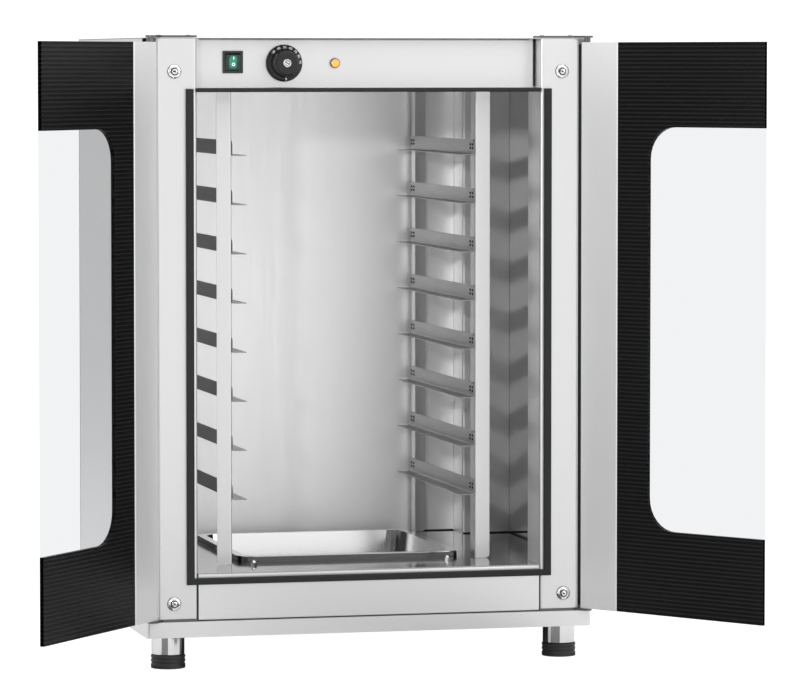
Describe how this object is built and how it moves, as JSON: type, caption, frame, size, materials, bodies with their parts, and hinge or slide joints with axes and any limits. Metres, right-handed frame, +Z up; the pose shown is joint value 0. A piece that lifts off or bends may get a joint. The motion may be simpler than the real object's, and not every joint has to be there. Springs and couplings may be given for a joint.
{
  "type": "proofing cabinet",
  "caption": "Upright stainless steel proofing cabinet on short feet, with a pair of windowed doors, a rack of tray rails, a water pan and a recessed control panel.",
  "frame": {"origin": "on the ground, at the middle of the box round the cabinet with its doors open", "axes": "+X to the right seen from the front, +Y from the doors to the back, +Z up"},
  "size_m": [1.011, 0.816, 0.8873],
  "materials": {
    "satin_steel": "satin brushed stainless",
    "bright_steel": "bright polished stainless",
    "dull_steel": "dull stainless",
    "black_rubber": "matte",
    "grey_silicone": "soft matte",
    "black_plastic": "satin",
    "green_lens": "lit translucent",
    "orange_lens": "lit translucent",
    "black_polycarbonate": "glossy twin-wall sheet",
    "clear_polycarbonate": "clear"
  },
  "bodies": {
    "cabinet": {"plinth_frame": "satin_steel", "floor_pan": "satin_steel", "side_panel_left": "satin_steel", "side_panel_right": "satin_steel", "top_and_back_panel": "satin_steel", "back_liner": "satin_steel", "ceiling_panel": "satin_steel", "front_post_left": "satin_steel", "front_post_right": "satin_steel", "control_panel": "satin_steel", "lower_front_panel": "satin_steel", "gasket_sides": "grey_silicone", "gasket_top": "grey_silicone", "hinge_top_left": "dull_steel", "hinge_top_right": "dull_steel", "hinge_bottom_left": "dull_steel", "hinge_bottom_right": "dull_steel", "heater_element": "dull_steel", "pan_support": "dull_steel", "foot_leg_front_left": "satin_steel", "upright_front_left": "satin_steel", "foot_shoe_front_left": "black_rubber", "foot_leg_front_right": "satin_steel", "upright_front_right": "satin_steel", "foot_shoe_front_right": "black_rubber", "foot_leg_rear_left": "satin_steel", "upright_rear_left": "satin_steel", "foot_shoe_rear_left": "black_rubber", "foot_leg_rear_right": "satin_steel", "upright_rear_right": "satin_steel", "foot_shoe_rear_right": "black_rubber", "rail_left_1": "satin_steel", "rail_left_2": "satin_steel", "rail_left_3": "satin_steel", "rail_left_4": "satin_steel", "rail_left_5": "satin_steel", "rail_left_6": "satin_steel", "rail_left_7": "satin_steel", "rail_left_8": "satin_steel", "rail_right_1": "satin_steel", "rail_right_2": "satin_steel", "rail_right_3": "satin_steel", "rail_right_4": "satin_steel", "rail_right_5": "satin_steel", "rail_right_6": "satin_steel", "rail_right_7": "satin_steel", "rail_right_8": "satin_steel", "switch_housing": "black_plastic", "thermostat_body": "black_plastic", "cable_gland": "black_plastic", "pilot_lamp": "orange_lens"},
    "left_door": {"door_stile_left": "satin_steel", "door_sheet_left": "black_polycarbonate", "door_window_left": "clear_polycarbonate"},
    "right_door": {"door_stile_right": "satin_steel", "door_sheet_right": "black_polycarbonate", "door_window_right": "clear_polycarbonate"},
    "knob": {"thermostat_knob": "black_plastic"},
    "rocker": {"switch_rocker": "green_lens"},
    "pan": {"water_pan": "bright_steel"}
  },
  "joints": [
    {"name": "left_door_hinge", "type": "hinge", "parent": "cabinet", "child": "left_door", "pos_m": [-0.30735, -0.15144, 0.4746], "axis": [0, 0, -1], "range_deg": [-128.7, 50]},
    {"name": "right_door_hinge", "type": "hinge", "parent": "cabinet", "child": "right_door", "pos_m": [0.32144, -0.15144, 0.4746], "axis": [0, 0, 1], "range_deg": [-125.4, 53]},
    {"name": "knob_turn", "type": "hinge", "parent": "cabinet", "child": "knob", "pos_m": [-0.11095, -0.13664, 0.8484], "axis": [0, -1, 0], "range_deg": [-270, 0]},
    {"name": "rocker_tilt", "type": "hinge", "parent": "cabinet", "child": "rocker", "pos_m": [-0.18446, -0.11305, 0.8499], "axis": [1, 0, 0], "range_deg": [-16, 0]},
    {"name": "water_pan_lift", "type": "slide", "parent": "cabinet", "child": "pan", "axis": [0, 0, 1], "range_m": [0, 0.045]}
  ]
}
